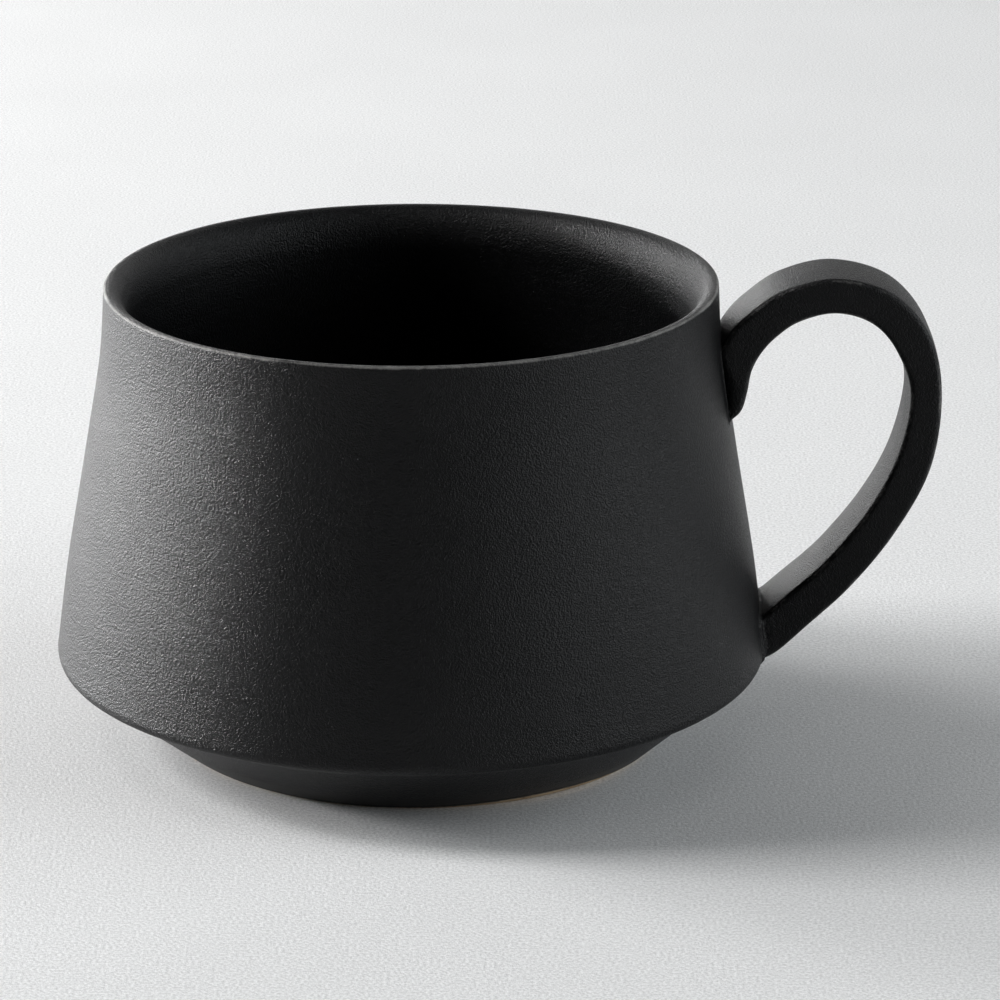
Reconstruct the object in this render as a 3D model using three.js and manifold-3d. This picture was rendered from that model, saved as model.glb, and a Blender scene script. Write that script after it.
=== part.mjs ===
import * as THREE from 'three';
import { mergeVertices } from 'three/addons/utils/BufferGeometryUtils.js';
import Module from 'manifold-3d';

// A wheel-thrown stoneware mug: a tapered cup on a low turned foot, with a pulled strap handle.
// Millimetres, +Z up, standing on z = 0, with the handle towards +X.
// Profile points are (radius from the cup's axis, height).

const rimHeight = 72.5;
const lipRadius = 47.8;
const shoulderRadius = 56.3;
const shoulderHeight = 13.5;
const creaseRadius = 52.1;
const creaseHeight = 10.5;
const footRadius = 39.6;
const footHeight = 3.2;
const footWidth = 6.2;
const footEdge = 0.5;
const wallThickness = 4.2;
const floorThickness = 3.3;
const lipRounding = 0.5;
const bevelDepth = 5.5;
const insideCornerRadius = 13;
const handleReach = 82.8;
const strapWidth = 13.2;
const strapThickness = 5.1;
const strapEdge = 1;
const endFlare = 1.7;
const slipThickness = 1.2;
const slipMargin = 1;
const gap = 0.3;
const turnSegments = 72;

// The cup's axis stands left of the origin, so that the origin is under the middle of the whole mug.
const cupAxisX = -(handleReach - shoulderRadius) / 2;

const footMaterial = new THREE.MeshStandardMaterial({ color: 0x4a4238, roughness: 0.85, metalness: 0 });
const wallMaterial = new THREE.MeshStandardMaterial({ color: 0x1c1d1e, roughness: 0.55, metalness: 0 });
const strapMaterial = new THREE.MeshStandardMaterial({ color: 0x1c1c1d, roughness: 0.5, metalness: 0 });
const slipMaterial = new THREE.MeshStandardMaterial({ color: 0x19191a, roughness: 0.5, metalness: 0 });

const wasm = await Module();
wasm.setup();

function toSolid(geometry) {
  const positions = geometry.clone();
  positions.deleteAttribute('normal');
  positions.deleteAttribute('uv');
  const merged = mergeVertices(positions, 1e-4);
  return new wasm.Manifold(new wasm.Mesh({
    numProp: 3,
    vertProperties: new Float32Array(merged.attributes.position.array),
    triVerts: new Uint32Array(merged.index.array),
  }));
}

function toGeometry(solid) {
  const mesh = solid.getMesh();
  const geometry = new THREE.BufferGeometry();
  geometry.setAttribute('position', new THREE.BufferAttribute(mesh.vertProperties, 3));
  geometry.setIndex(new THREE.BufferAttribute(mesh.triVerts, 1));
  return geometry;
}

// Turns a profile about Z. The profile runs upwards on its outside and comes back on its inside.
function turned(profile) {
  const geometry = new THREE.LatheGeometry(profile, turnSegments);
  geometry.rotateX(Math.PI / 2);
  return geometry;
}

function arcPoints(centreX, centreY, radius, startDegrees, endDegrees, steps) {
  const arc = new THREE.EllipseCurve(
    centreX, centreY, radius, radius,
    THREE.MathUtils.degToRad(startDegrees), THREE.MathUtils.degToRad(endDegrees),
    endDegrees < startDegrees,
  );
  return arc.getPoints(steps);
}

// The outside of the wall: full at the shoulder, straight above it, and nearly upright at the lip.
function outerWallPoints(offset, steps) {
  const wall = new THREE.SplineCurve([
    new THREE.Vector2(shoulderRadius + offset, shoulderHeight),
    new THREE.Vector2(54.35 + offset, 27.8),
    new THREE.Vector2(51.05 + offset, 46.6),
    new THREE.Vector2(48.6 + offset, 61.2),
    new THREE.Vector2(lipRadius + offset, rimHeight - lipRounding),
  ]);
  return wall.getPoints(steps);
}

// The underside rises as a cone from the foot to the crease that the turning tool left.
function coneRadius(height) {
  return footRadius + (creaseRadius - footRadius) * height / creaseHeight;
}

// The shoulder rolls over from the crease to the wall.
function shoulderPoints(offset) {
  const roll = new THREE.CubicBezierCurve(
    new THREE.Vector2(creaseRadius + offset, creaseHeight),
    new THREE.Vector2(creaseRadius + 2.2 + offset, creaseHeight + 1.3),
    new THREE.Vector2(shoulderRadius + 0.05 + offset, shoulderHeight - 2.2),
    new THREE.Vector2(shoulderRadius + offset, shoulderHeight),
  );
  return roll.getPoints(5);
}

function cupBodyGeometry() {
  const insideFloor = footHeight + floorThickness;
  const lipCentre = new THREE.Vector2(lipRadius - lipRounding, rimHeight - lipRounding);
  const lip = arcPoints(lipCentre.x, lipCentre.y, lipRounding, 0, 95, 3);
  const bevel = new THREE.CubicBezierCurve(
    lip[3],
    new THREE.Vector2(lipRadius - 2.6, rimHeight - 0.1),
    new THREE.Vector2(lipRadius - wallThickness + 0.2, rimHeight - bevelDepth / 2),
    new THREE.Vector2(lipRadius - wallThickness + 0.1, rimHeight - bevelDepth),
  );
  const insideWall = outerWallPoints(-wallThickness, 12).slice(1, -2).reverse();
  const cornerX = shoulderRadius - wallThickness - insideCornerRadius - 0.3;
  const cornerY = insideFloor + insideCornerRadius;
  const profile = [
    new THREE.Vector2(0, footHeight),
    new THREE.Vector2(coneRadius(footHeight), footHeight),
    ...shoulderPoints(0).slice(0, -1),
    ...outerWallPoints(0, 12),
    ...lip.slice(1),
    ...bevel.getPoints(6).slice(1),
    ...insideWall,
    ...arcPoints(cornerX, cornerY, insideCornerRadius, 0, -90, 7),
    new THREE.Vector2(0, insideFloor),
  ];
  return turned(profile);
}

function footRingGeometry() {
  const innerRadius = footRadius - footWidth;
  const profile = [
    new THREE.Vector2(footRadius - footEdge, 0),
    new THREE.Vector2(coneRadius(footEdge), footEdge),
    new THREE.Vector2(coneRadius(footHeight), footHeight),
    new THREE.Vector2(innerRadius - 1.2, footHeight),
    new THREE.Vector2(innerRadius, footEdge),
    new THREE.Vector2(innerRadius + footEdge, 0),
    new THREE.Vector2(footRadius - footEdge, 0),
  ];
  return turned(profile);
}

// Everything inside the cup's outer face, grown outwards by an offset: it trims what meets the wall.
function wallCutter(offset) {
  const profile = [
    new THREE.Vector2(0, -1),
    new THREE.Vector2(coneRadius(-1) + offset, -1),
    ...shoulderPoints(offset).slice(0, -1),
    ...outerWallPoints(offset, 12),
    new THREE.Vector2(lipRadius + offset, rimHeight + 1),
    new THREE.Vector2(0, rimHeight + 1),
  ];
  return toSolid(turned(profile));
}

// The middle line of the strap, seen from the side: it rises from the upper end, which lies down
// along the wall, goes over the top, and sweeps back to the shoulder.
function strapMiddle() {
  return new THREE.SplineCurve([
    new THREE.Vector2(48.4, 51.5),
    new THREE.Vector2(49.4, 57.5),
    new THREE.Vector2(52.2, 64.7),
    new THREE.Vector2(58.0, 69.7),
    new THREE.Vector2(66.0, 72.0),
    new THREE.Vector2(74.6, 68.7),
    new THREE.Vector2(79.2, 61.9),
    new THREE.Vector2(80.15, 52.5),
    new THREE.Vector2(77.6, 41.3),
    new THREE.Vector2(70.6, 30.6),
    new THREE.Vector2(61.2, 20.5),
    new THREE.Vector2(52.5, 15.2),
  ]);
}

// The strap thickens just before its lower end, where it was pressed on to the shoulder.
function strapHalfThickness(along) {
  const flare = THREE.MathUtils.smoothstep(along, 0.92, 1);
  return strapThickness / 2 + endFlare * flare;
}

function strapOutline() {
  const middle = strapMiddle();
  const steps = 44;
  const outside = [];
  const inside = [];
  for (let i = 0; i <= steps; i += 1) {
    const along = i / steps;
    const point = middle.getPointAt(along);
    const tangent = middle.getTangentAt(along);
    const half = strapHalfThickness(along);
    outside.push(new THREE.Vector2(point.x - tangent.y * half, point.y + tangent.x * half));
    inside.push(new THREE.Vector2(point.x + tangent.y * half, point.y - tangent.x * half));
  }
  return new THREE.Shape([...outside, ...inside.reverse()]);
}

function handleStrapGeometry() {
  const geometry = new THREE.ExtrudeGeometry(strapOutline(), {
    depth: strapWidth - 2 * strapEdge,
    steps: 1,
    bevelEnabled: true,
    bevelThickness: strapEdge,
    bevelSize: strapEdge,
    bevelOffset: -strapEdge,
    bevelSegments: 3,
  });
  geometry.translate(0, 0, -(strapWidth - 2 * strapEdge) / 2);
  geometry.rotateX(Math.PI / 2);
  const strap = toSolid(geometry);
  return toGeometry(strap.subtract(wallCutter(slipThickness + 2 * gap)));
}

// Slip that lutes one end of the strap to the wall: a thin pad, a little larger than the end it holds.
function slipJointGeometry(lowEdge, highEdge) {
  const halfWidth = strapWidth / 2 + slipMargin;
  const corner = 3;
  const pad = new THREE.Shape();
  pad.moveTo(-halfWidth + corner, lowEdge);
  pad.absarc(halfWidth - corner, lowEdge + corner, corner, -Math.PI / 2, 0);
  pad.absarc(halfWidth - corner, highEdge - corner, corner, 0, Math.PI / 2);
  pad.absarc(-halfWidth + corner, highEdge - corner, corner, Math.PI / 2, Math.PI);
  pad.absarc(-halfWidth + corner, lowEdge + corner, corner, Math.PI, 1.5 * Math.PI);
  const prism = new THREE.ExtrudeGeometry(pad, {
    depth: 20, steps: 1, bevelEnabled: false, curveSegments: 5,
  });
  prism.rotateX(Math.PI / 2);
  prism.rotateZ(Math.PI / 2);
  prism.translate(40, 0, 0);
  const slip = toSolid(prism)
    .intersect(wallCutter(gap + slipThickness))
    .subtract(wallCutter(gap));
  return toGeometry(slip);
}

function piece(name, geometry, material) {
  const mesh = new THREE.Mesh(geometry, material);
  mesh.name = name;
  return mesh;
}

const mug = new THREE.Group();
mug.position.x = cupAxisX;
mug.add(piece('foot_ring', footRingGeometry(), footMaterial));
mug.add(piece('cup_body', cupBodyGeometry(), wallMaterial));
mug.add(piece('handle_strap', handleStrapGeometry(), strapMaterial));
mug.add(piece('upper_handle_joint', slipJointGeometry(50.6, 67.2), slipMaterial));
mug.add(piece('lower_handle_joint', slipJointGeometry(11.3, 22.6), slipMaterial));

export default mug;
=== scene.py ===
"""A hand-thrown stoneware mug in matt black glaze: the looks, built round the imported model."""
import math

import bmesh
import bpy
from mathutils import Matrix, Vector, noise


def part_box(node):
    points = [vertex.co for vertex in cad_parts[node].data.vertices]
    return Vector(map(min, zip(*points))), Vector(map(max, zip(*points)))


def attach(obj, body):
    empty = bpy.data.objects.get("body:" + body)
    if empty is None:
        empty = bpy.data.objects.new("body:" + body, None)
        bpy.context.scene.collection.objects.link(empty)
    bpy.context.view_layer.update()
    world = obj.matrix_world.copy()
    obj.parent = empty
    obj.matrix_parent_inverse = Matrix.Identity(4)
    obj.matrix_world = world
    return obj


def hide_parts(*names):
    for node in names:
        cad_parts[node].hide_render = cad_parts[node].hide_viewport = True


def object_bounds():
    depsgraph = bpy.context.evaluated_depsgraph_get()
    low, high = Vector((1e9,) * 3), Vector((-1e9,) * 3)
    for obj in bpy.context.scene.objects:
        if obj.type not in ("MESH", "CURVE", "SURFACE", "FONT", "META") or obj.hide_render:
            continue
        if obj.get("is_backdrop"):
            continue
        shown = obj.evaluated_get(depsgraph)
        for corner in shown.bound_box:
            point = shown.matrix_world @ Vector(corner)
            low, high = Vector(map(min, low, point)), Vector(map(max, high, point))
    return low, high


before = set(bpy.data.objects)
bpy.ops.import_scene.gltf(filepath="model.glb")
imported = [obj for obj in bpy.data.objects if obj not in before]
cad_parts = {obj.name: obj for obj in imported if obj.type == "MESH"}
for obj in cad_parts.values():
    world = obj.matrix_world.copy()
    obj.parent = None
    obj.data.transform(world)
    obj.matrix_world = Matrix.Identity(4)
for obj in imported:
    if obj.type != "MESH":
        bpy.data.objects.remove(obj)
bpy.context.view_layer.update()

# Outlines below are in millimetres: (distance from the cup's axis, height above the table).
MM = 0.001
body_low, body_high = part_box("cup_body")
foot_low, foot_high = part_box("foot_ring")
AXIS_X = (body_low.x + body_high.x) / 2
LIP_HEIGHT = body_high.z / MM
SHOULDER_RADIUS = (body_high.x - body_low.x) / 2 / MM
SEAM_HEIGHT = foot_high.z / MM
SEAM_RADIUS = (foot_high.x - foot_low.x) / 2 / MM

LIP_RADIUS = 47.8
LIP_ROUNDING = 0.45
BEVEL_DEPTH = 6.0
WALL_THICKNESS = 4.2
SHOULDER_HEIGHT = 13.5
CREASE_RADIUS, CREASE_HEIGHT = 52.1, 10.5
FOOT_RADIUS = 39.6
FOOT_WIDTH = 6.2
FLOOR_HEIGHT = 6.5
INSIDE_CORNER = 13.0
CORNER_INSET = 0.3
FOOT_EDGE = 0.55
FOOT_SLOPE = 1.2

# Vertices in each turned ring, and the radius under which a point counts as lying on the axis.
AROUND = 336
ON_AXIS = 1e-6


# ---------------------------------------------------------------- outlines

def smoothstep(low, high, value):
    t = min(max((value - low) / (high - low), 0.0), 1.0)
    return t * t * (3 - 2 * t)


def curve_through(knots, count):
    """Points evenly spaced in parameter on a smooth curve through the knots."""
    spans = len(knots) - 1
    points = []
    for i in range(count + 1):
        t = i / count * spans
        k = min(int(t), spans - 1)
        t -= k
        before = knots[max(k - 1, 0)]
        start, end = knots[k], knots[k + 1]
        after = knots[min(k + 2, spans)]
        points.append(tuple(
            0.5 * (2 * s + (e - b) * t + (2 * b - 5 * s + 4 * e - a) * t ** 2
                   + (3 * s - b - 3 * e + a) * t ** 3)
            for b, s, e, a in zip(before, start, end, after)))
    return points


def straight(start, end, count):
    """Points from start to end, without the end itself."""
    return [tuple(s + (e - s) * i / count for s, e in zip(start, end)) for i in range(count)]


def arc(centre, radius, start_degrees, end_degrees, count):
    points = []
    for i in range(count + 1):
        angle = math.radians(start_degrees + (end_degrees - start_degrees) * i / count)
        points.append((centre[0] + radius * math.cos(angle), centre[1] + radius * math.sin(angle)))
    return points


def bezier(start, pull_start, pull_end, end, count):
    points = []
    for i in range(count + 1):
        t = i / count
        points.append(tuple(
            a * (1 - t) ** 3 + 3 * b * t * (1 - t) ** 2 + 3 * c * t ** 2 * (1 - t) + d * t ** 3
            for a, b, c, d in zip(start, pull_start, pull_end, end)))
    return points


def cone_radius(height):
    """The turned underside between the foot and the crease."""
    return FOOT_RADIUS + (CREASE_RADIUS - FOOT_RADIUS) * height / CREASE_HEIGHT


# The shoulder rolls over from the crease to the wall. The wall is nearly straight above it.
SHOULDER_STEPS = 22
WALL_STEPS = 88
SHOULDER_LINE = bezier((CREASE_RADIUS, CREASE_HEIGHT), (CREASE_RADIUS + 2.2, CREASE_HEIGHT + 1.3),
                       (SHOULDER_RADIUS + 0.05, SHOULDER_HEIGHT - 2.2),
                       (SHOULDER_RADIUS, SHOULDER_HEIGHT), SHOULDER_STEPS)
WALL_LINE = curve_through([(SHOULDER_RADIUS, SHOULDER_HEIGHT), (54.35, 27.8), (51.05, 46.6),
                           (48.6, 61.2), (LIP_RADIUS, LIP_HEIGHT - LIP_ROUNDING)], WALL_STEPS)


def wall_radius(height):
    """The outside of the cup's wall at one height, above and below the shoulder."""
    if height <= CREASE_HEIGHT:
        return cone_radius(height)
    line = SHOULDER_LINE if height < SHOULDER_HEIGHT else WALL_LINE
    for (r0, h0), (r1, h1) in zip(line, line[1:]):
        if h0 <= height <= h1:
            return r0 + (r1 - r0) * (height - h0) / (h1 - h0)
    return LIP_RADIUS


def cup_outline():
    """Round the clay from the middle of the underside, up the outside, over the lip and down inside."""
    lip_centre = (LIP_RADIUS - LIP_ROUNDING, LIP_HEIGHT - LIP_ROUNDING)
    lip = arc(lip_centre, LIP_ROUNDING, 0, 94, 9)
    bevel_foot = LIP_HEIGHT - BEVEL_DEPTH
    inside = [(r - WALL_THICKNESS, h) for r, h in reversed(WALL_LINE[3:]) if h < bevel_foot]
    corner = (SHOULDER_RADIUS - WALL_THICKNESS - INSIDE_CORNER - CORNER_INSET,
              FLOOR_HEIGHT + INSIDE_CORNER)
    bevel = bezier(lip[-1], (LIP_RADIUS - 2.4, LIP_HEIGHT - 0.05),
                   (inside[0][0] + 0.05, LIP_HEIGHT - BEVEL_DEPTH * 0.45), inside[0], 26)
    return (straight((0, SEAM_HEIGHT), (SEAM_RADIUS, SEAM_HEIGHT), 10)
            + straight((SEAM_RADIUS, SEAM_HEIGHT), (CREASE_RADIUS, CREASE_HEIGHT), 16)
            + SHOULDER_LINE[:-1] + WALL_LINE[:-1] + lip[:-1] + bevel[:-1] + inside
            + arc(corner, INSIDE_CORNER, 0, -90, 20)
            + straight((corner[0], FLOOR_HEIGHT), (0, FLOOR_HEIGHT), 10)[1:] + [(0, FLOOR_HEIGHT)])


def foot_outline():
    """Round the foot ring from its inner top corner, down inside, under and up the outside."""
    inner = FOOT_RADIUS - FOOT_WIDTH
    edge = FOOT_EDGE
    return (straight((inner - FOOT_SLOPE, SEAM_HEIGHT), (inner - 0.15, edge + 0.2), 8)
            + arc((inner + edge, edge), edge, 180, 270, 6)[:-1]
            + straight((inner + edge, 0), (FOOT_RADIUS - edge, 0), 10)
            + bezier((FOOT_RADIUS - edge, 0), (FOOT_RADIUS - 0.1, 0), (cone_radius(0.25), 0.25),
                     (cone_radius(edge), edge), 6)[:-1]
            + straight((cone_radius(edge), edge), (SEAM_RADIUS, SEAM_HEIGHT), 12)
            + straight((SEAM_RADIUS, SEAM_HEIGHT), (inner - FOOT_SLOPE, SEAM_HEIGHT), 8))


# ---------------------------------------------------------------- the potter's hand

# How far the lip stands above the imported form: all round, more towards the handle, more to one side,
# and in waves. The rise starts at the last of these heights.
LIP_RISE = 0.13
LIP_LEAN = 0.4
LIP_TILT = -0.11
LIP_WAVE = 0.05
LEAN_START = 25

OVALNESS = 0.12
UNEVENNESS = 0.02
FOOT_DRIFT = 0.9
DRIFT_HEIGHT = 9

# Throwing rings: their depth and pitch, how their pitch wavers, and the heights where they fade in.
RING_DEPTH = 0.006
RING_PITCH = 5.3
RING_WAVER, WAVER_RATE = 1.3, 0.31
RINGS_START, RINGS_FULL = 11, 20

# The unevenness goes round in lumps of this coarseness, and changes this much for each millimetre up.
LUMPS_AROUND = 2.2
LUMPS_UP = 0.09


def by_hand(x, y, z):
    """Moves a point of the cup, in millimetres from its axis, off the perfectly turned form."""
    radius = math.hypot(x, y)
    if radius < ON_AXIS:
        return x, y, z
    angle = math.atan2(y, x)
    high = smoothstep(LEAN_START, LIP_HEIGHT, z)
    spiral = math.sin(2 * math.pi * (z / RING_PITCH) + angle + RING_WAVER * math.sin(z * WAVER_RATE))
    uneven = noise.noise(Vector((LUMPS_AROUND * math.cos(angle), LUMPS_AROUND * math.sin(angle),
                                 z * LUMPS_UP)))
    rings = RING_DEPTH * (0.55 + 0.9 * uneven) * spiral * smoothstep(RINGS_START, RINGS_FULL, z)
    swell = OVALNESS * high * math.cos(2 * angle + 0.7) + rings + UNEVENNESS * uneven
    factor = 1 + swell / radius * smoothstep(10, 30, radius) * smoothstep(6, 12, z)
    lean = (LIP_LEAN * x + LIP_TILT * y) / LIP_RADIUS
    lift = high * (LIP_RISE + lean + LIP_WAVE * math.sin(3 * angle + 0.4))
    sideways = FOOT_DRIFT * max(0.0, 1 - z / DRIFT_HEIGHT)
    return x * factor + sideways, y * factor, z + lift


# ---------------------------------------------------------------- meshes

def new_piece(name, mesh_builder, stands_for):
    """One piece of the mug, that rides on the model and stands for its CAD node."""
    builder = bmesh.new()
    for mark in ("edge", "above_glaze_line"):
        builder.verts.layers.float.new(mark)
    mesh_builder(builder)
    bmesh.ops.recalc_face_normals(builder, faces=builder.faces)
    mesh = bpy.data.meshes.new(name)
    builder.to_mesh(mesh)
    builder.free()
    mesh.polygons.foreach_set("use_smooth", [True] * len(mesh.polygons))
    piece = bpy.data.objects.new(name, mesh)
    bpy.context.scene.collection.objects.link(piece)
    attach(piece, "root")
    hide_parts(stands_for)
    return piece


# The glaze stops this far above the table, with a slight wave, and higher round two places on the foot.
# Each place is given by its angle from the handle and its spread, in degrees, and its extra height.
GLAZE_STOP = 0.22
GLAZE_WAVE = 0.05
BARER_PLACES = ((-57, 24, 0.85), (118, 30, 0.6))

# Only the outside of the foot is glazed: clay takes over this far in from its edge, and this sharply.
CLAY_INSET = 0.8
CLAY_SHARPNESS = 3


def glaze_line(angle):
    """The height in millimetres at which the glaze stops on the foot, at an angle from the handle."""
    height = GLAZE_STOP + GLAZE_WAVE * math.sin(5 * angle)
    for middle, spread, extra in BARER_PLACES:
        height += extra * math.exp(-((math.degrees(angle) - middle) / spread) ** 2)
    return height


def place(builder, x, y, z, edge=0.0):
    """A vertex at a point in millimetres from the cup's axis. edge says how much pale grey is painted on
    it, as thin glaze and a painted highlight.
    """
    vertex = builder.verts.new((AXIS_X + x * MM, y * MM, z * MM))
    vertex[builder.verts.layers.float["edge"]] = edge
    outside_foot = CLAY_SHARPNESS * (math.hypot(x, y) - FOOT_RADIUS + FOOT_DRIFT + CLAY_INSET)
    above = min(z - glaze_line(math.atan2(y, x)), outside_foot)
    vertex[builder.verts.layers.float["above_glaze_line"]] = above
    return vertex


# How much pale grey is painted on the lip, the crease and the strap's edges, where 1 is most: on the lip
# and the strap thin glaze and a painted highlight, on the crease a painted highlight. The heights and
# widths over which the marks fade are in millimetres.
LIP_THIN_GLAZE_AND_HIGHLIGHT, LIP_BREAK_HEIGHT, LIP_BREAK_WIDTH = 0.8, 0.34, 0.4
LIP_BREAK_INSET = 0.1
CREASE_HIGHLIGHT, CREASE_HIGHLIGHT_HEIGHT = 0.34, 0.5
STRAP_THIN_GLAZE_AND_HIGHLIGHT = 0.42


def edge_of_outline(radius, height):
    """Strongest on the lip, less on the crease under the shoulder, and 0 on open faces."""
    # On the lip this paints pale grey for thin glaze and a painted highlight.
    below_lip = (height - LIP_HEIGHT + LIP_BREAK_INSET) / LIP_BREAK_HEIGHT
    inside_lip = (radius - LIP_RADIUS + LIP_BREAK_INSET) / LIP_BREAK_WIDTH
    lip = math.exp(-below_lip ** 2 - inside_lip ** 2)
    # The crease gets a pale line that is a painted highlight.
    crease = math.exp(-((height - CREASE_HEIGHT) / CREASE_HIGHLIGHT_HEIGHT) ** 2)
    return max(LIP_THIN_GLAZE_AND_HIGHLIGHT * lip, CREASE_HIGHLIGHT * crease)


def turn(builder, outline):
    """Turns an outline about the cup's axis. One that doesn't start on the axis is closed on itself."""
    rings = []
    for radius, height in outline:
        if radius < ON_AXIS:
            rings.append([place(builder, 0, 0, height)] * AROUND)
            continue
        ring = []
        for i in range(AROUND):
            angle = 2 * math.pi * i / AROUND
            point = by_hand(radius * math.cos(angle), radius * math.sin(angle), height)
            ring.append(place(builder, *point, edge_of_outline(radius, height)))
        rings.append(ring)
    seams = [ring for ring, point in zip(rings, outline) if point == (SEAM_RADIUS, SEAM_HEIGHT)]
    if outline[0][0] > ON_AXIS:
        rings.append(rings[0])
    for low, high in zip(rings, rings[1:]):
        for i in range(AROUND):
            j = (i + 1) % AROUND
            corners = []
            for vertex in (low[i], low[j], high[j], high[i]):
                if vertex not in corners:
                    corners.append(vertex)
            if len(corners) > 2:
                builder.faces.new(corners)
    for ring in seams:
        for i in range(AROUND):
            builder.edges.get((ring[i], ring[(i + 1) % AROUND])).smooth = False


# The strap runs between two lines, seen from the side: its top face and the face next to the fingers.
# Widths, roundings and movements are in millimetres. Pairs are shares of the strap's length.
STRAP_WIDTH = 13.2
STRAP_EDGE = 0.95
STRAP_CROWN = 0.12
STRAP_SWAY = 0.12
STRAP_UNEVENNESS = 0.05
UPPER_SPREAD, UPPER_END = 0.5, (0.02, 0.2)
LOWER_SPREAD, LOWER_END = 0.6, (0.84, 1)
ROOT_GROOVE, GROOVE_STARTS, GROOVE_STOPS = 2.0, (0.02, 0.07), (0.13, 0.21)
TOP_FACE = [(48.3, 50.6), (48.2, 53.2), (48.2, 57.2), (47.9, 62.2), (49.2, 65.5), (52.2, 68.9),
            (57.7, 72.8), (66.0, 74.7), (74.9, 72.2), (80.8, 65.3), (82.8, 55.5),
            (81.4, 43.9), (76.2, 33.3), (69.4, 24.2), (62.8, 17.7), (57.7, 13.1), (53.6, 11.5)]
FINGER_FACE = [(48.4, 51.0), (51.3, 53.0), (52.4, 56.3), (53.1, 59.9), (54.6, 62.8), (56.5, 65.0),
               (60.2, 67.7), (65.9, 69.1), (71.7, 67.4), (75.7, 62.7), (77.9, 55.7),
               (76.1, 45.8), (71.6, 36.7), (65.6, 28.8), (59.4, 22.9), (55.2, 19.1),
               (52.5, 17.6)]
STATIONS = 190
SECTION_CORNER = 7
SECTION_FACE = 7
SECTION_SIDE = 4

# On the thin ends, a rounding takes at most these shares of the half thickness and of what is left.
EDGE_SHARE = 0.8
GROOVE_SHARE = 1.9


def strap_section(half_thickness, half_width, groove):
    """A flat strap's section with round edges and full faces: points (across, outwards, edge).

    The groove rounds off the two edges that face the wall, where the strap's end lies along it."""
    edge = min(STRAP_EDGE, half_thickness * EDGE_SHARE)
    wide = edge + min(groove, GROOVE_SHARE * (half_thickness - edge))
    corners = [(half_width - wide, half_thickness - wide, 0, wide),
               (wide - half_width, half_thickness - wide, 90, wide),
               (edge - half_width, edge - half_thickness, 180, edge),
               (half_width - edge, edge - half_thickness, 270, edge)]
    points = []
    for across, out, turn_from, radius in corners:
        corner = arc((across, out), radius, turn_from, turn_from + 90, SECTION_CORNER)
        for i, point in enumerate(corner):
            points.append((*point, math.sin(math.pi * i / SECTION_CORNER) ** 2))
        if turn_from in (0, 180):
            sign = 1 if turn_from == 0 else -1
            end = -across
            for i in range(1, SECTION_FACE):
                t = i / SECTION_FACE
                full = STRAP_CROWN * math.sin(math.pi * t)
                points.append((across + (end - across) * t, sign * (half_thickness + full), 0.0))
        else:
            end = edge - half_thickness if turn_from == 90 else half_thickness - wide
            side = -half_width if turn_from == 90 else half_width
            for i in range(1, SECTION_SIDE):
                points.append((side, out + (end - out) * i / SECTION_SIDE, 0.0))
    return points


def strap_rings():
    """The strap's sections from the upper end to the lower one, as points from the cup's axis."""
    top = curve_through(TOP_FACE, STATIONS)
    under = curve_through(FINGER_FACE, STATIONS)
    rings = []
    for i, ((x0, z0), (x1, z1)) in enumerate(zip(top, under)):
        along = i / STATIONS
        middle = ((x0 + x1) / 2, (z0 + z1) / 2)
        half = math.hypot(x0 - x1, z0 - z1) / 2
        out = ((x0 - x1) / 2 / half, (z0 - z1) / 2 / half)
        spread = UPPER_SPREAD * (1 - smoothstep(*UPPER_END, along))
        spread += LOWER_SPREAD * smoothstep(*LOWER_END, along)
        sway = STRAP_SWAY * math.sin(2.2 * math.pi * along + 0.6)
        groove = ROOT_GROOVE * smoothstep(*GROOVE_STARTS, along) * (1 - smoothstep(*GROOVE_STOPS, along))
        ring = []
        for across, rise, edge in strap_section(half, STRAP_WIDTH / 2 + spread, groove):
            lumps = noise.noise(Vector((across * 0.2, rise * 0.3, along * 16)))
            rise += STRAP_UNEVENNESS * lumps
            # The strap's edges get pale grey: thin glaze and a painted highlight.
            ring.append((middle[0] + out[0] * rise, across + sway, middle[1] + out[1] * rise,
                         STRAP_THIN_GLAZE_AND_HIGHLIGHT * edge))
        rings.append(ring)
    return rings


STRAP_RINGS = strap_rings()


def skin(builder, rings, closed_ends):
    """Faces between neighbouring rings of points, with flat caps on the ends if asked for."""
    made = [[place(builder, *point) for point in ring] for ring in rings]
    count = len(made[0])
    for first, second in zip(made, made[1:]):
        for i in range(count):
            j = (i + 1) % count
            builder.faces.new((first[i], first[j], second[j], second[i]))
    if closed_ends:
        builder.faces.new(made[0])
        builder.faces.new(made[-1])
    return made


def build_strap(builder):
    skin(builder, STRAP_RINGS, True)


# ---------------------------------------------------------------- luted joints

# How far the slip reaches along the strap and along the wall, in millimetres.
UPPER_SLIP = (0.8, 1.7)
LOWER_SLIP = (3.4, 2.0)

# Stations of the strap in which its end comes out of the wall, and the steps across the slip.
ROOT_STATIONS = 90
FILLET_STEPS = 16

# Across the slip, 0 is on the strap and 1 on the wall: a pressed groove and a bead of pushed-up slip.
GROOVE_DEPTH, GROOVE_PLACE, GROOVE_WIDTH = 0.25, 0.45, 0.17
BEAD_HEIGHT, BEAD_PLACE, BEAD_WIDTH = 0.3, 0.8, 0.11
LUMP_HEIGHT = 0.7
LUMPS_PER_MM = 0.45

# The slip reaches less far under the strap's end and over it.
SHORTER_BELOW = 0.3
SHORTER_ABOVE = 0.55

# The slip's outer edge lies just inside the glaze of the wall. Its back is buried in both pieces.
EDGE_SINK = 0.03
BACK_SINK = 0.8
BURIED_DEPTH = 1.2
BACK_SHARE = 0.25


def depth_in_wall(point):
    """How far a point lies inside the cup's outer face, measured level: negative outside."""
    x, y, z = point[:3]
    return wall_radius(z) - math.hypot(x, y)


def mix(a, b, t):
    return tuple(p + (q - p) * t for p, q in zip(a, b))


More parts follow.
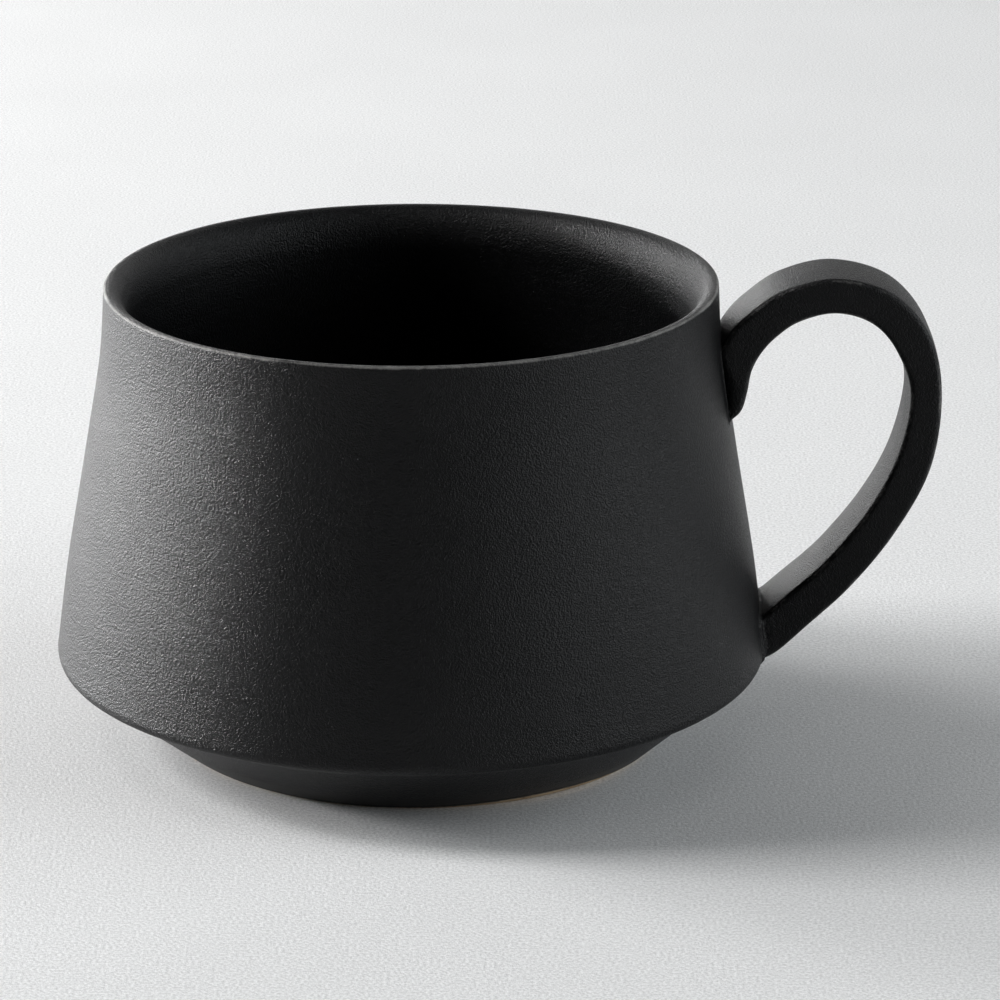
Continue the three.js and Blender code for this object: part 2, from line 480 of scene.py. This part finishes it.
def meeting_point(line):
    """Where a line of the strap, followed from its buried end, comes out of the wall."""
    for i, (inner, outer) in enumerate(zip(line, line[1:])):
        a, b = depth_in_wall(inner), depth_in_wall(outer)
        if a > 0 >= b:
            return i + a / (a - b)
    raise ValueError("the strap doesn't leave the wall")


def at_step(line, step):
    step = min(max(step, 0), len(line) - 1.001)
    i = int(step)
    return mix(line[i], line[i + 1], step - i)


def walk_out(line, step, distance):
    """The point on the line that lies a distance further out than the given step."""
    i = step
    last = at_step(line, i)
    left = distance
    while left > 0 and i < len(line) - 2:
        i += 0.25
        here = at_step(line, i)
        gone = math.dist(last[:3], here[:3])
        if gone >= left:
            return mix(last, here, left / gone)
        left -= gone
        last = here
    return last


def on_wall(point, sink):
    """The point level with the given one that lies this far inside the cup's outer face."""
    x, y, z = point[:3]
    radius = wall_radius(z) - sink
    factor = radius / math.hypot(x, y)
    return x * factor, y * factor, z


def fillet_rings(from_upper_end, reach_strap, reach_wall):
    """Slip smoothed into the corner between strap and wall, as rings from the strap to the wall."""
    rings = STRAP_RINGS if from_upper_end else STRAP_RINGS[::-1]
    count = len(rings[0])
    lines = [[ring[k] for ring in rings[:ROOT_STATIONS]] for k in range(count)]
    steps = [meeting_point(line) for line in lines]
    meets = [at_step(line, step)[:3] for line, step in zip(lines, steps)]
    centre = sum((Vector(meet) for meet in meets), Vector()) / count
    rows = []
    for k in range(count):
        before, after = Vector(meets[k - 2]), Vector(meets[(k + 2) % count])
        meet = Vector(meets[k])
        wall_out = Vector((meet.x, meet.y, 0)).normalized()
        aside = (after - before).cross(wall_out).normalized()
        if aside.dot(meet - centre) < 0:
            aside = -aside
        low = max(0.0, -aside.z)
        reach = 1 - SHORTER_BELOW * low - SHORTER_ABOVE * max(0.0, aside.z)
        lump = 1 + LUMP_HEIGHT * noise.noise(meet * LUMPS_PER_MM)
        strap_end = Vector(walk_out(lines[k], steps[k], reach_strap * reach)[:3])
        along_wall = aside * reach_wall * (0.6 + 0.4 * reach) * lump
        wall_end = Vector(on_wall(meet + along_wall, EDGE_SINK))
        row = []
        for i in range(FILLET_STEPS + 1):
            t = i / FILLET_STEPS
            press = BEAD_HEIGHT * math.exp(-((t - BEAD_PLACE) / BEAD_WIDTH) ** 2) * lump
            press -= GROOVE_DEPTH * math.exp(-((t - GROOVE_PLACE) / GROOVE_WIDTH) ** 2)
            point = strap_end * (1 - t) ** 2 + meet * 2 * t * (1 - t) + wall_end * t ** 2
            row.append(point + (wall_out + aside) * press * (1 - low))
        row.append(wall_end - wall_out * BACK_SINK)
        row.append(Vector(on_wall(meet, BURIED_DEPTH)))
        row.append(strap_end.lerp(centre, BACK_SHARE))
        rows.append(row)
    return [[tuple(row[i]) for row in rows] for i in range(len(rows[0]))]


def build_fillet(from_upper_end, reach_strap, reach_wall):
    """What new_piece needs to make one joint: a closed band of slip with its back buried."""
    def build(builder):
        rings = fillet_rings(from_upper_end, reach_strap, reach_wall)
        made = skin(builder, rings, False)
        count = len(made[0])
        for i in range(count):
            j = (i + 1) % count
            builder.faces.new((made[-1][i], made[-1][j], made[0][j], made[0][i]))
            for ring in (made[0], made[FILLET_STEPS]):
                builder.edges.get((ring[i], ring[j])).smooth = False
    return build


cup = new_piece("thrown_cup", lambda builder: turn(builder, cup_outline()), "cup_body")
foot = new_piece("turned_foot", lambda builder: turn(builder, foot_outline()), "foot_ring")
strap = new_piece("pulled_strap", build_strap, "handle_strap")
upper_slip = new_piece("upper_slip_fillet", build_fillet(True, *UPPER_SLIP), "upper_handle_joint")
lower_slip = new_piece("lower_slip_fillet", build_fillet(False, *LOWER_SLIP), "lower_handle_joint")


# ---------------------------------------------------------------- finishes

def node(tree, kind, **settings):
    made = tree.nodes.new("ShaderNode" + kind)
    for name, value in settings.items():
        setattr(made, name, value)
    return made


def feed(tree, socket, value):
    """Links a socket to another node's output, or sets it to a plain value."""
    if isinstance(value, bpy.types.NodeSocket):
        tree.links.new(value, socket)
    else:
        socket.default_value = value


def calculate(tree, operation, *values):
    made = node(tree, "Math", operation=operation)
    for socket, value in zip(made.inputs, values):
        feed(tree, socket, value)
    return made.outputs["Value"]


def fade(tree, value, low, high, to_low=0.0, to_high=1.0):
    """Takes a value from to_low to to_high smoothly, as it goes from low to high."""
    made = node(tree, "MapRange", interpolation_type="SMOOTHSTEP")
    for socket, number in zip(made.inputs[:5], (value, low, high, to_low, to_high)):
        feed(tree, socket, number)
    return made.outputs["Result"]


def blend(tree, share, first, second):
    """A colour between two others."""
    made = node(tree, "Mix", data_type="RGBA")
    feed(tree, made.inputs[0], share)
    feed(tree, made.inputs[6], first)
    feed(tree, made.inputs[7], second)
    return made.outputs[2]


def cloud(tree, where, size, detail, roughness, distortion=0.0):
    """Noise with lumps of a size in millimetres. Its value seldom leaves 0.2 to 0.8."""
    made = node(tree, "TexNoise")
    feed(tree, made.inputs["Vector"], where)
    made.inputs["Scale"].default_value = 1 / (size * MM)
    made.inputs["Detail"].default_value = detail
    made.inputs["Roughness"].default_value = roughness
    made.inputs["Distortion"].default_value = distortion
    return made.outputs["Fac"]


def cells(tree, where, size):
    """The distance to the nearest of scattered points, in spacings, and each point's random number."""
    made = node(tree, "TexVoronoi")
    feed(tree, made.inputs["Vector"], where)
    made.inputs["Scale"].default_value = 1 / (size * MM)
    apart = node(tree, "SeparateColor")
    feed(tree, apart.inputs["Color"], made.outputs["Color"])
    return made.outputs["Distance"], apart.outputs["Red"]


def stretched(tree, where, x, y, z):
    made = node(tree, "VectorMath", operation="MULTIPLY")
    feed(tree, made.inputs[0], where)
    made.inputs[1].default_value = (x, y, z)
    return made.outputs["Vector"]


def new_group(name, inputs, outputs):
    """An empty node group and its two ends. Sockets are given as name and kind."""
    group = bpy.data.node_groups.new(name, "ShaderNodeTree")
    for label, kind in inputs.items():
        group.interface.new_socket(label, in_out="INPUT", socket_type="NodeSocket" + kind)
    for label, kind in outputs.items():
        group.interface.new_socket(label, in_out="OUTPUT", socket_type="NodeSocket" + kind)
    given = group.nodes.new("NodeGroupInput").outputs
    result = group.nodes.new("NodeGroupOutput").inputs
    return group, given, result


def use_group(tree, group, **values):
    made = node(tree, "Group", node_tree=group)
    for name, value in values.items():
        feed(tree, made.inputs[name.replace("_", " ")], value)
    return made.outputs


# Sizes of the glaze's lumps and lines in millimetres, and how much each adds to relief or tone.
PEBBLE_SIZE = 0.37
FINE_SIZE, FINE_SHARE = PEBBLE_SIZE * 0.5, 0.6
CRYSTAL_SIZE, CRYSTAL_SHARE = 0.3, 0.7
MOTTLE_SIZE, MOTTLE_SHARE = 1.5, 0.4
PATCH_SIZE, PATCH_SHARE = 16, 0.6
LINE_SIZE = 1.3
LINE_STRETCH = 0.08

# Specks: how far apart they can lie in millimetres, the share of places that have none, their largest
# radius in spacings, and how far they stand out beside the pebbles.
SPECK_SPACING = 3.4
SPECKLESS = 0.45
SPECK_SIZE = 0.035
SPECK_RISE = 1.5


def grain_group():
    """The fine pebbled skin of a matt glaze, with tool lines under it and stray light specks."""
    group, given, result = new_group(
        "pebbled_skin", {"Position": "Vector", "Lines": "Float"},
        {"Height": "Float", "Tone": "Float", "Specks": "Float"})
    where = given["Position"]
    pebbles = cloud(group, where, PEBBLE_SIZE, detail=1.0, roughness=0.6)
    fine = cloud(group, where, FINE_SIZE, detail=1.0, roughness=0.6)
    level = stretched(group, where, LINE_STRETCH, LINE_STRETCH, 1)
    line = cloud(group, level, LINE_SIZE, detail=3.0, roughness=0.65, distortion=0.3)
    lines = calculate(group, "MULTIPLY", line, given["Lines"])
    weak_fine = calculate(group, "MULTIPLY", fine, FINE_SHARE)
    skin_height = calculate(group, "MULTIPLY_ADD", pebbles, 1.0, weak_fine)
    feed(group, result["Height"], calculate(group, "ADD", skin_height, lines))

    flattened = stretched(group, where, 0.6, 0.6, 1.3)
    patches = cloud(group, flattened, PATCH_SIZE, detail=3.0, roughness=0.55, distortion=0.4)
    mottle = cloud(group, where, MOTTLE_SIZE, detail=2.0, roughness=0.6)
    mirrored = stretched(group, where, -1, 1, -1)
    crystal = cloud(group, mirrored, CRYSTAL_SIZE, detail=1.0, roughness=0.6)
    crystals = fade(group, crystal, 0.32, 0.68)
    slow = calculate(group, "ADD", calculate(group, "MULTIPLY", patches, PATCH_SHARE),
                     calculate(group, "MULTIPLY", mottle, MOTTLE_SHARE))
    slow_tone = fade(group, slow, 0.3, 0.7, 0.0, 1 - CRYSTAL_SHARE)
    tone = calculate(group, "MULTIPLY_ADD", crystals, CRYSTAL_SHARE, slow_tone)
    feed(group, result["Tone"], tone)

    distance, pick = cells(group, where, SPECK_SPACING)
    chosen = fade(group, pick, SPECKLESS, SPECKLESS + 0.05)
    size = calculate(group, "MULTIPLY", pick, SPECK_SIZE)
    dot = calculate(group, "LESS_THAN", distance, size)
    feed(group, result["Specks"], calculate(group, "MULTIPLY", dot, chosen))
    return group


# Sizes in millimetres of what breaks up the pale grey on an edge (thin glaze and painted highlight), and
# how much each breaks it.
WANDER_SIZE, WANDER_SHARE = 5, 1.1
CRUMB_SIZE, CRUMB_SHARE = 0.5, 0.5
THIN_THRESHOLD = 0.8


def thin_glaze_and_highlight_group():
    """Where pale grey is painted on an edge, broken up along its length: thin glaze on the lip and the
    strap, and a painted highlight on them and on the crease.
    """
    group, given, result = new_group("thin_glaze_and_painted_highlight_on_edges", {"Position": "Vector", "Edge": "Float"},
                                     {"Thin": "Float"})
    wander = cloud(group, given["Position"], WANDER_SIZE, detail=3.0, roughness=0.6)
    crumbs = cloud(group, given["Position"], CRUMB_SIZE, detail=2.0, roughness=0.6)
    broken = calculate(group, "ADD", calculate(group, "MULTIPLY", wander, WANDER_SHARE),
                       calculate(group, "MULTIPLY", crumbs, CRUMB_SHARE))
    edge_and_breaks = calculate(group, "ADD", given["Edge"], broken)
    reach = calculate(group, "SUBTRACT", edge_and_breaks, THIN_THRESHOLD)
    shown = fade(group, reach, 0.3, 0.95)
    on_edge = fade(group, given["Edge"], 0.02, 0.4)
    feed(group, result["Thin"], calculate(group, "MULTIPLY", shown, on_edge))
    return group


def glaze_group():
    """Colour, roughness and relief of the matt black glaze."""
    group, given, result = new_group(
        "matt_black_glaze",
        {"Position": "Vector", "Edge": "Float", "Lines": "Float", "Thinness": "Float"},
        {"Color": "Color", "Roughness": "Float", "Height": "Float"})
    skin_look = use_group(group, PEBBLED_SKIN, Position=given["Position"], Lines=given["Lines"])
    thin_and_highlight = use_group(group, THIN_GLAZE_AND_HIGHLIGHT_ON_EDGES, Position=given["Position"], Edge=given["Edge"])["Thin"]
    thin_and_highlight = calculate(group, "MULTIPLY", thin_and_highlight, given["Thinness"])
    base = blend(group, skin_look["Tone"], DEEP_BLACK, SOFT_BLACK)
    # Pale grey on edges: thin glaze, and a painted highlight on the lip, the crease and the strap's
    # edges.
    broken = blend(group, thin_and_highlight, base, THIN_GLAZE_AND_HIGHLIGHT_GREY)
    feed(group, result["Color"], blend(group, skin_look["Specks"], broken, SPECK_GREY))
    mottled = fade(group, skin_look["Tone"], 0, 1, GLAZE_ROUGHNESS - ROUGHNESS_CHANGE,
                   GLAZE_ROUGHNESS + ROUGHNESS_CHANGE)
    feed(group, result["Roughness"],
         calculate(group, "MULTIPLY_ADD", thin_and_highlight, THIN_ROUGHNESS, mottled))
    feed(group, result["Height"],
         calculate(group, "MULTIPLY_ADD", skin_look["Specks"], SPECK_RISE, skin_look["Height"]))
    return group


# Sizes of the bare clay's sand, grog and flushes of colour, in millimetres.
SAND_SIZE = 0.35
GROG_SPACING = 0.9
FLUSH_SIZE = 6


def clay_group():
    """Colour and relief of fired stoneware without glaze: sandy, with dark grog."""
    group, given, result = new_group("bare_stoneware", {"Position": "Vector"},
                                     {"Color": "Color", "Height": "Float"})
    where = given["Position"]
    sand = cloud(group, where, SAND_SIZE, detail=2.0, roughness=0.65)
    flush = cloud(group, where, FLUSH_SIZE, detail=3.0, roughness=0.6)
    colour = blend(group, fade(group, flush, 0.35, 0.65), CLAY_PALE, CLAY_TOASTED)
    distance, pick = cells(group, where, GROG_SPACING)
    grain = fade(group, distance, 0.32, 0.2)
    grog = calculate(group, "MULTIPLY", grain, fade(group, pick, 0.6, 0.7))
    speckled = blend(group, calculate(group, "MULTIPLY", grog, 0.6), colour, CLAY_GROG)
    feed(group, result["Color"],
         blend(group, fade(group, sand, 0.35, 0.7, 0.0, 0.3), speckled, CLAY_SHADE))
    feed(group, result["Height"], calculate(group, "MULTIPLY_ADD", grog, 0.6, sand))
    return group


DEEP_BLACK = (0.0003, 0.0004, 0.0006, 1)
SOFT_BLACK = (0.0046, 0.0048, 0.0055, 1)
# A pale grey painted on edges, as thin glaze and as a painted highlight.
THIN_GLAZE_AND_HIGHLIGHT_GREY = (0.2, 0.196, 0.188, 1)
SPECK_GREY = (0.09, 0.095, 0.1, 1)
GLAZE_ROUGHNESS = 0.42
ROUGHNESS_CHANGE = 0.05
THIN_ROUGHNESS = 0.08
GLAZE_RELIEF = 0.16
GLAZE_SHINE = 0.2
BEAD_RISE = 2.0
CLAY_PALE = (0.47, 0.37, 0.25, 1)
CLAY_TOASTED = (0.36, 0.26, 0.16, 1)
CLAY_GROG = (0.17, 0.12, 0.08, 1)
CLAY_SHADE = (0.25, 0.18, 0.12, 1)
CLAY_ROUGHNESS = 0.88
CLAY_RELIEF = 0.04

# The ragged edge of the glaze on the foot: the size and height of its wobbles, in millimetres.
RAG_SIZE = 1.2
RAG_HEIGHT = 0.5

PEBBLED_SKIN = grain_group()
THIN_GLAZE_AND_HIGHLIGHT_ON_EDGES = thin_glaze_and_highlight_group()
GLAZE = glaze_group()
STONEWARE = clay_group()


def new_material(name):
    material = bpy.data.materials.new(name)
    material.use_nodes = True
    tree = material.node_tree
    position = node(tree, "TexCoord").outputs["Object"]
    return material, tree, tree.nodes["Principled BSDF"].inputs, position


def attribute(tree, name):
    return node(tree, "Attribute", attribute_name=name).outputs["Fac"]


def relief(tree, height, depth):
    """A normal from a height, where a height of 1 stands this many millimetres out."""
    bump = node(tree, "Bump")
    bump.inputs["Strength"].default_value = 1.0
    bump.inputs["Distance"].default_value = depth * MM
    feed(tree, bump.inputs["Height"], height)
    return bump.outputs["Normal"]


def glazed_material(name, lines, thin_glaze_and_highlight_share):
    """Glaze over the whole piece. lines is the depth of tool lines, and the last value how much pale
    grey is painted on edges, as thin glaze and a painted highlight.
    """
    material, tree, shader, position = new_material(name)
    look = use_group(tree, GLAZE, Position=position, Edge=attribute(tree, "edge"), Lines=lines,
                     Thinness=thin_glaze_and_highlight_share)
    feed(tree, shader["Base Color"], look["Color"])
    feed(tree, shader["Roughness"], look["Roughness"])
    feed(tree, shader["Normal"], relief(tree, look["Height"], GLAZE_RELIEF))
    shader["Specular IOR Level"].default_value = GLAZE_SHINE
    return material


def foot_material(name):
    """Bare clay up to the glaze line, which the glaze left uneven, and glaze above it."""
    material, tree, shader, position = new_material(name)
    glazed = use_group(tree, GLAZE, Position=position, Edge=0.0, Lines=0.5, Thinness=0.0)
    clay = use_group(tree, STONEWARE, Position=position)
    wobble = cloud(tree, position, RAG_SIZE, detail=3.0, roughness=0.6)
    ragged = calculate(tree, "MULTIPLY_ADD", wobble, RAG_HEIGHT, -RAG_HEIGHT / 2)
    above = calculate(tree, "ADD", attribute(tree, "above_glaze_line"), ragged)
    cover = fade(tree, above, -0.05, 0.07)
    bead = calculate(tree, "SUBTRACT", fade(tree, above, -0.1, 0.12), fade(tree, above, 0.1, 0.7))
    feed(tree, shader["Base Color"], blend(tree, cover, clay["Color"], glazed["Color"]))
    feed(tree, shader["Roughness"], fade(tree, cover, 0, 1, CLAY_ROUGHNESS, GLAZE_ROUGHNESS))
    difference = calculate(tree, "SUBTRACT", glazed["Height"], clay["Height"])
    skin_height = calculate(tree, "MULTIPLY_ADD", cover, difference, clay["Height"])
    height = calculate(tree, "MULTIPLY_ADD", bead, BEAD_RISE, skin_height)
    feed(tree, shader["Normal"], relief(tree, height, CLAY_RELIEF))
    shader["Specular IOR Level"].default_value = GLAZE_SHINE
    return material


def clay_material(name):
    material, tree, shader, position = new_material(name)
    clay = use_group(tree, STONEWARE, Position=position)
    feed(tree, shader["Base Color"], clay["Color"])
    shader["Roughness"].default_value = CLAY_ROUGHNESS
    feed(tree, shader["Normal"], relief(tree, clay["Height"], CLAY_RELIEF))
    return material


glaze = glazed_material("matt_black_glaze", lines=0.4, thin_glaze_and_highlight_share=1.0)
slip = glazed_material("glaze_over_slip", lines=0.3, thin_glaze_and_highlight_share=0.4)
foot_clay = foot_material("clay_foot_under_glaze")
bare_clay = clay_material("bare_stoneware")

for piece in (cup, strap):
    piece.data.materials.append(glaze)
for piece in (upper_slip, lower_slip):
    piece.data.materials.append(slip)
foot.data.materials.append(foot_clay)

# The cup's underside, inside the foot ring, is bare clay.
cup.data.materials.append(bare_clay)
for face in cup.data.polygons:
    if face.center.z < (SEAM_HEIGHT + 0.01) * MM:
        face.material_index = 1


# ---------------------------------------------------------------- table, light and camera

PAPER_PALE = (0.91, 0.91, 0.91, 1)
PAPER_SHADE = (0.61, 0.61, 0.61, 1)
PAPER_ROUGHNESS = 0.9
PAPER_SHINE = 0.2
PAPER_RELIEF = 0.07
FIBRE_SIZE, FIBRE_SHARE = 0.5, 0.95
PAPER_PATCH_SIZE, PAPER_PATCH_SHARE = 60, 0.05
TABLE_REACH = 3


def table_top():
    """A sheet of pale paper, which is no piece of the mug."""
    mesh = bpy.data.meshes.new("table")
    builder = bmesh.new()
    bmesh.ops.create_grid(builder, x_segments=2, y_segments=2, size=TABLE_REACH)
    builder.to_mesh(mesh)
    builder.free()
    table = bpy.data.objects.new("table", mesh)
    bpy.context.scene.collection.objects.link(table)
    material, tree, shader, position = new_material("pale_paper")
    fibres = cloud(tree, position, FIBRE_SIZE, detail=3.0, roughness=0.7)
    patches = cloud(tree, position, PAPER_PATCH_SIZE, detail=2.0, roughness=0.5)
    weak_patches = calculate(tree, "MULTIPLY", patches, PAPER_PATCH_SHARE)
    shade = calculate(tree, "MULTIPLY_ADD", fibres, FIBRE_SHARE, weak_patches)
    feed(tree, shader["Base Color"], blend(tree, fade(tree, shade, 0.3, 0.7), PAPER_SHADE, PAPER_PALE))
    shader["Roughness"].default_value = PAPER_ROUGHNESS
    shader["Specular IOR Level"].default_value = PAPER_SHINE
    feed(tree, shader["Normal"], relief(tree, fibres, PAPER_RELIEF))
    mesh.materials.append(material)
    table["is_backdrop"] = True


LIGHTS_AIM_AT = Vector((0, 0, 0.04))


def soft_box(name, azimuth, elevation, distance, width, height, power, colour):
    """A soft light that faces the mug. Azimuth 0 is towards the camera, and 90 to its right."""
    a, e = math.radians(azimuth), math.radians(elevation)
    towards = Vector((math.sin(a) * math.cos(e), -math.cos(a) * math.cos(e), math.sin(e)))
    data = bpy.data.lights.new(name, "AREA")
    data.shape = "RECTANGLE"
    data.size = width
    data.size_y = height
    data.energy = power
    data.color = colour
    light = bpy.data.objects.new(name, data)
    light.location = towards * distance + LIGHTS_AIM_AT
    light.rotation_mode = "QUATERNION"
    light.rotation_quaternion = towards.to_track_quat("Z", "Y")
    bpy.context.scene.collection.objects.link(light)


WHITE = (1, 1, 1)
COOL_WHITE = (0.92, 0.97, 1)
AMBIENT = 0.01

# Low window panes, all of one size and at one height: azimuth and power.
LOW_PANES = ((-166, 3.5), (-140, 4), (-115, 54), (-100, 6), (71, 5))
PANE_WIDTH, PANE_HEIGHT = 0.42, 0.3
PANE_ELEVATION = 4
PANE_DISTANCE = 1.6

# The other lights: name, azimuth, elevation, distance, width, height, power and colour.
SOFT_BOXES = (("key", -95, 34, 1.6, 0.45, 0.45, 18, WHITE),
              ("high_key", -112, 56, 1.6, 0.45, 0.45, 2.4, WHITE),
              ("right_panel", 88, 20, 1.6, 1.6, 1.1, 16, COOL_WHITE),
              ("back_panel", 180, 17, 3.2, 6.4, 1.4, 30, WHITE),
              ("ceiling", 0, 88, 1.6, 1.5, 1.5, 1.6, WHITE))


def studio():
    """Low panes, most of them on the left, a key light, and pale panels on the right and behind."""
    for azimuth, power in LOW_PANES:
        soft_box("window_pane", azimuth, PANE_ELEVATION, PANE_DISTANCE, PANE_WIDTH, PANE_HEIGHT,
                 power, WHITE)
    for box in SOFT_BOXES:
        soft_box(*box)
    world = bpy.data.worlds.new("studio")
    world.use_nodes = True
    world.node_tree.nodes["Background"].inputs["Color"].default_value = (*WHITE, 1)
    world.node_tree.nodes["Background"].inputs["Strength"].default_value = AMBIENT
    bpy.context.scene.world = world
    bpy.context.scene.view_settings.view_transform = "Standard"


CAMERA_ELEVATION = 18.45
CAMERA_AZIMUTH = 0.5
CAMERA_DISTANCE = 0.7127
CAMERA_ROLL = 0.33
FOCAL_LENGTH = 162
SENSOR_WIDTH = 36

# The camera aims this far from the middle of the mug, sideways and up.
AIM_ASIDE = 0.0007
AIM_UP = -0.0009


def camera():
    low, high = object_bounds()
    aim = Vector(((low.x + high.x) / 2 + AIM_ASIDE, 0, (low.z + high.z) / 2 + AIM_UP))
    a, e, roll = (math.radians(v) for v in (CAMERA_AZIMUTH, CAMERA_ELEVATION, CAMERA_ROLL))
    right = Vector((math.cos(a), -math.sin(a), 0))
    back = Vector((-math.sin(a) * math.cos(e), -math.cos(a) * math.cos(e), math.sin(e)))
    up = back.cross(right)
    tilted = right * math.cos(roll) + up * math.sin(roll)
    data = bpy.data.cameras.new("camera")
    data.lens = FOCAL_LENGTH
    data.sensor_width = SENSOR_WIDTH
    lens = bpy.data.objects.new("camera", data)
    lens.matrix_world = Matrix((tilted, back.cross(tilted), back)).transposed().to_4x4()
    lens.location = aim + back * CAMERA_DISTANCE
    bpy.context.scene.collection.objects.link(lens)
    bpy.context.scene.camera = lens


table_top()
studio()
camera()
